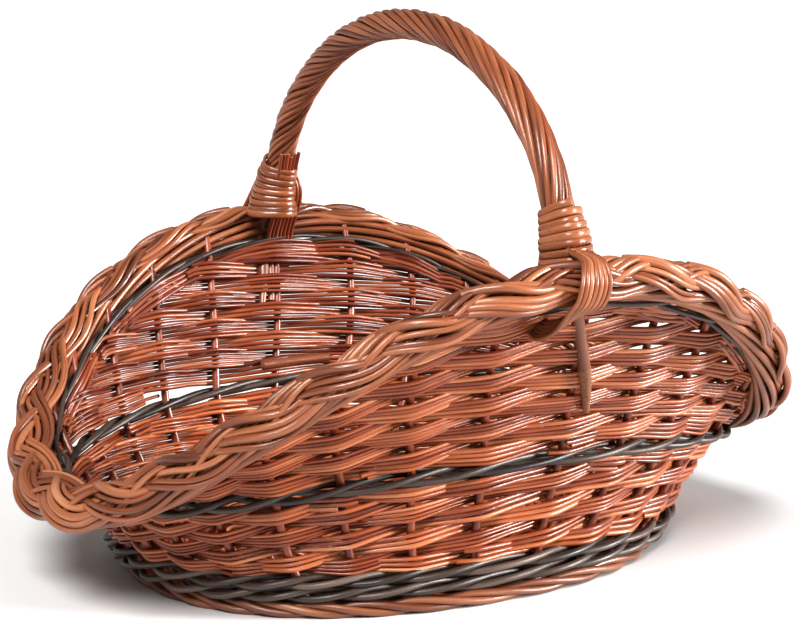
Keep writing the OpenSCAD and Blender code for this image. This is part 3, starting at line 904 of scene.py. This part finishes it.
def binding(name, side, nodes):
    """A split rod wound round the leg, with a flat section."""
    rods = Rods()
    n = BIND_TURNS * 48
    f = np.linspace(0, 1, n)
    low, high = BIND_SPAN[side]
    r_low, r_high = BIND_R[side]
    a = low + (high - low) * f
    here = a if side > 0 else 180 - a
    turn = 2 * math.pi * BIND_TURNS * f
    corners = 0.7 * np.cos(4 * turn + 0.8) + 0.5 * np.cos(2 * turn + 0.5)
    r = r_low + (r_high - r_low) * f ** 0.85 + corners + wander(n, 20, 0.35)
    out = arch_out(here)
    across = np.array([1.0, 0, 0])
    radial = np.cos(turn)[:, None] * out + np.sin(turn)[:, None] * across
    shift = np.array([BIND_SHIFT[side][0], BIND_SHIFT[side][1], 0.0]) * (1 - f)[:, None]
    sway = (wander(n, 30, 0.5) + 0.9 * np.sin(turn + 1.0))[:, None] * np.array([0, 0, 1.0])
    path = arch(here) + r[:, None] * radial + shift + sway
    rods.rod(path, 2.45 * (1 + wander(n, 50, 0.08)), 12, radial, flat=0.5)
    return rods.piece(name, PALE, CUT, nodes, "pale_willow")


LOOP_RODS = 7
LOOP_ROD_R = 1.5
LOOP_PITCH = 3.1
LOOP_R = BRAID_R + BRAID_HIGH + 3.4     # from the border's middle to the rods that cross it

# The loops' way over the border's outer face: degrees, shift along x, how wide they fan out
ROUND_BORDER = ((68, -3, 0.75), (40, -5, 0.95), (10, -7, 1.1), (-20, -9, 1.1), (-45, -12, 1.0))


def front_loops():
    """Rods that leave the binding, cross the border's outer face and go into the weave below."""
    rods = Rods()
    middle = border_mid(BORDER_LEN * 0.75)
    leg = arch(np.array([179.0]))[0]
    for k in range(LOOP_RODS):
        x = (k - (LOOP_RODS - 1) / 2) * LOOP_PITCH
        points = [[leg[0] - 1 + 0.55 * x, leg[1] - 6, leg[2] + 30],
                  [leg[0] - 1 + 0.6 * x, leg[1] - 13, leg[2] + 15]]
        for turn, shift, wide in ROUND_BORDER:
            q = math.radians(turn)
            points.append([leg[0] + shift + wide * x, middle[1] - LOOP_R * math.cos(q),
                           middle[2] + LOOP_R * math.sin(q)])
        points += [[leg[0] - 13 + 0.8 * x, middle[1] + 5, middle[2] - 23 + 0.5 * x],
                   [leg[0] - 16 + 0.6 * x, middle[1] + 23, middle[2] - 30 + 0.5 * x],
                   [leg[0] - 11 + 0.6 * x, middle[1] + 38, middle[2] - 26 + 0.3 * x],
                   [leg[0] - 3 + 0.7 * x, middle[1] + 40, middle[2] - 12],
                   [leg[0] + 0.7 * x, leg[1] + 13, leg[2] + 20]]
        rods.rod(smooth_path(points, 110), LOOP_ROD_R * rng.uniform(0.9, 1.08), 8, [1, 0, 0])
    return rods.piece("front_loops", EDGE, CUT, ["front_rod_loops"], "light_willow")


TAIL_RODS = 6
TAIL_PITCH = 2.6
TAIL_ROD_R = 1.35


def back_loops():
    """The same at the back, where their inner part is seen, hanging from the binding. Their
    tails stand up out of the binding's last turn."""
    rods = Rods()
    middle = border_mid(BORDER_LEN * 0.25)
    leg = arch(np.array([1.0]))[0]
    for k in range(LOOP_RODS):
        x = (k - (LOOP_RODS - 1) / 2) * LOOP_PITCH
        points = [[leg[0] + 3 + 0.6 * x, leg[1] - 9, leg[2] + 22],
                  [leg[0] + 5 + 0.9 * x, leg[1] - 11, leg[2] + 4],
                  [leg[0] + 6 + 1.0 * x, middle[1] - LOOP_R - 1, middle[2] - 4],
                  [leg[0] + 6 + 1.0 * x, middle[1] - LOOP_R - 1, middle[2] - 22],
                  [leg[0] + 3 + 0.8 * x, middle[1] - LOOP_R + 1, middle[2] - 36 + 0.5 * x],
                  [leg[0] - 4 + 0.7 * x, middle[1] - LOOP_R + 9, middle[2] - 42 + 0.5 * x],
                  [leg[0] - 6 + 0.8 * x, middle[1] + 2, middle[2] - 30]]
        for turn in (-45, -10, 30, 65):
            q = math.radians(turn)
            points.append([leg[0] + x, middle[1] + LOOP_R * math.cos(q),
                           middle[2] + LOOP_R * math.sin(q)])
        points.append([leg[0] + 0.7 * x, leg[1] + 13, leg[2] + 20])
        rods.rod(smooth_path(points, 110), LOOP_ROD_R * rng.uniform(0.9, 1.08), 8, [1, 0, 0])
    for k in range(TAIL_RODS):
        x = (k - (TAIL_RODS - 1) / 2) * TAIL_PITCH
        top = BIND_SPAN[1][1]
        foot = arch(np.array([top - 4.0]))[0] + np.array([x, -11.5, 0])
        head = arch(np.array([top + rng.uniform(2.2, 3.6)]))[0] + np.array([1.1 * x, -12.5, 0])
        rods.rod(np.linspace(foot, head, 6), TAIL_ROD_R, 8, [1, 0, 0])
    return rods.piece("back_loops", DEEP, CUT, ["back_rod_loops"], "deep_willow")


# ---------- base ----------

CROSS_STICKS = 9
LONG_STICKS = 5
CROSS_PITCH = 34.0
LONG_PITCH = 20.0
CROSS_STICK_R = 3.0
LONG_STICK_R = 2.4


def base_sticks(name, count, pitch, across, radius, nodes):
    """Straight sticks that end just inside the oval of the base."""
    rods = Rods()
    for i in range(count):
        offset = (i - (count - 1) / 2) * pitch
        limit = (BASE_HALF - BASE_INSET)[1 if across else 0]
        other = (BASE_HALF - BASE_INSET)[0 if across else 1]
        reach = (limit - 2) * (1 - (abs(offset) / other) ** OVAL_N) ** (1 / OVAL_N)
        along = np.linspace(-reach, reach, 30)
        flat = [offset + 0 * along, along] if across else [along, offset + 0 * along]
        path = np.stack([flat[0] + BASE_MID[0], flat[1] + BASE_MID[1], BASE_Z + 0 * along], -1)
        rods.rod(path, radius, 12, [0, 0, 1])
    return rods.piece(name, DEEP, CUT, nodes, "deep_willow")


def base_weave():
    """Oval rings of thin rods, over and under the base sticks by turns."""
    rods = Rods()
    rod_r, pitch, rise = 1.7, 3.7, 3.4
    rings = int((BASE_HALF[1] - BASE_INSET - 4) / pitch)
    for ring in range(rings):
        half = BASE_HALF - BASE_INSET - 1.5 - ring * pitch
        t = np.linspace(0, 360, max(80, int(480 * half[0] / BASE_HALF[0])) + 1)[:-1]
        x, y = oval(half, t)
        crossings = []
        for i in range(CROSS_STICKS):
            c = (i - (CROSS_STICKS - 1) / 2) * CROSS_PITCH / half[0]
            if abs(c) < 0.93:
                a = math.degrees(math.acos(np.sign(c) * abs(c) ** (OVAL_N / 2)))
                crossings += [a, 360 - a]
        for i in range(LONG_STICKS):
            c = (i - (LONG_STICKS - 1) / 2) * LONG_PITCH / half[1]
            if abs(c) < 0.80:
                a = math.degrees(math.asin(np.sign(c) * abs(c) ** (OVAL_N / 2)))
                crossings += [a % 360, 180 - a]
        crossings = np.sort(crossings)
        wrapped = np.concatenate([[crossings[-1] - 360], crossings, [crossings[0] + 360]])
        kappa = np.interp(t, wrapped, np.arange(-1, len(crossings) + 1))
        lift = (1 if ring % 2 else -1) * rise * np.cos(math.pi * kappa)
        path = np.stack([x + BASE_MID[0], y + BASE_MID[1], BASE_Z + lift], -1)
        rods.rod(path, rod_r * rng.uniform(0.93, 1.05), 8, [0, 0, 1], closed=True)
    return rods.piece("base_weave_rods", LIGHT, CUT, ["base_weave"], "light_willow")


# ---------- the basket ----------

base_sticks("base_cross_stick_rods", CROSS_STICKS, CROSS_PITCH, True, CROSS_STICK_R,
            ["base_cross_sticks"])
base_sticks("base_long_stick_rods", LONG_STICKS, LONG_PITCH, False, LONG_STICK_R,
            ["base_long_sticks"])
base_weave()
foot_border()
foot_wale()
stakes("front_stake_rods", STAKES * 5 // 8, ["front_stakes"])
stakes("back_stake_rods", STAKES // 8, ["back_stakes"])
stakes("left_end_stake_rods", STAKES * 3 // 8, ["left_end_stakes"])
stakes("right_end_stake_rods", -STAKES // 8, ["right_end_stakes"])
lower_siding()
waist_wale()
upper_siding("front_siding_weave", -1, LIGHT, ["front_siding"])
# The back siding takes the darker red willow copy: painted shade inside the basket.
upper_siding("back_siding_weave", 1, SHADED_BACK_WILLOW, ["back_siding"])
top_wale("front_top_wale_rods", -1, ["front_top_wale"])
top_wale("back_top_wale_rods", 1, ["back_top_wale"])
for strand in range(3):
    border_strand(strand)
border_ends()
border_core()
bow()
rope("handle_rope_odd", 0, ["handle_rope_outer"], "light_willow")
rope("handle_rope_even", 1, ["handle_rope_inner"], "pale_willow")
binding("front_binding_wrap", -1, ["front_binding"])
binding("back_binding_wrap", 1, ["back_binding"])
front_loops()
back_loops()


# ---------- floor, light and camera ----------

def studio_floor():
    """A wide pale floor. Its size is in metres."""
    size = 40.0
    mesh = bpy.data.meshes.new("studio_floor")
    mesh.from_pydata([(-size, -size, 0), (size, -size, 0), (size, size, 0), (-size, size, 0)], [],
                     [(0, 1, 2, 3)])
    material = bpy.data.materials.new("floor")
    material.use_nodes = True
    shader = material.node_tree.nodes["Principled BSDF"]
    shader.inputs["Base Color"].default_value = (0.76, 0.76, 0.76, 1)
    shader.inputs["Roughness"].default_value = 0.9
    mesh.materials.append(material)
    made = bpy.data.objects.new("studio_floor", mesh)
    bpy.context.scene.collection.objects.link(made)


def sun_light(name, towards, strength, softness):
    """A soft lamp in the direction towards. softness is the angle that it fills, in degrees."""
    data = bpy.data.lights.new(name, "SUN")
    data.energy = strength
    data.angle = math.radians(softness)
    lamp = bpy.data.objects.new(name, data)
    lamp.rotation_euler = Vector(towards).to_track_quat("Z", "Y").to_euler()
    bpy.context.scene.collection.objects.link(lamp)


def soft_sky():
    """An even white light from all sides."""
    world = bpy.data.worlds.new("studio")
    world.use_nodes = True
    background = world.node_tree.nodes["Background"]
    background.inputs["Color"].default_value = (1, 1, 1, 1)
    background.inputs["Strength"].default_value = 0.32
    bpy.context.scene.world = world


def view_camera():
    """A view from the front left, a little above the rim."""
    target = Vector((-12.3, 3.3, 158.6)) * MM
    distance = 1440.6 * MM
    azimuth, elevation, roll = map(math.radians, (-31.16, 10.86, 0.61))
    back = Vector((math.sin(azimuth) * math.cos(elevation), -math.cos(azimuth) * math.cos(elevation),
                   math.sin(elevation)))
    data = bpy.data.cameras.new("camera")
    data.lens = 96.47
    data.sensor_width = 36
    data.clip_end = 50
    camera = bpy.data.objects.new("camera", data)
    place = Matrix.Translation(target + back * distance)
    turn = (-back).to_track_quat("-Z", "Y").to_matrix().to_4x4()
    camera.matrix_world = place @ turn @ Matrix.Rotation(roll, 4, "Z")
    bpy.context.scene.collection.objects.link(camera)
    bpy.context.scene.camera = camera


studio_floor()
soft_sky()
sun_light("key", (1.35, -0.90, 0.34), 4.5, 14)
sun_light("top", (-0.60, -0.60, 1.0), 3.2, 26)
view_camera()
look = bpy.context.scene.view_settings
look.view_transform = "Standard"
look.exposure = 0.3
look.gamma = 0.82
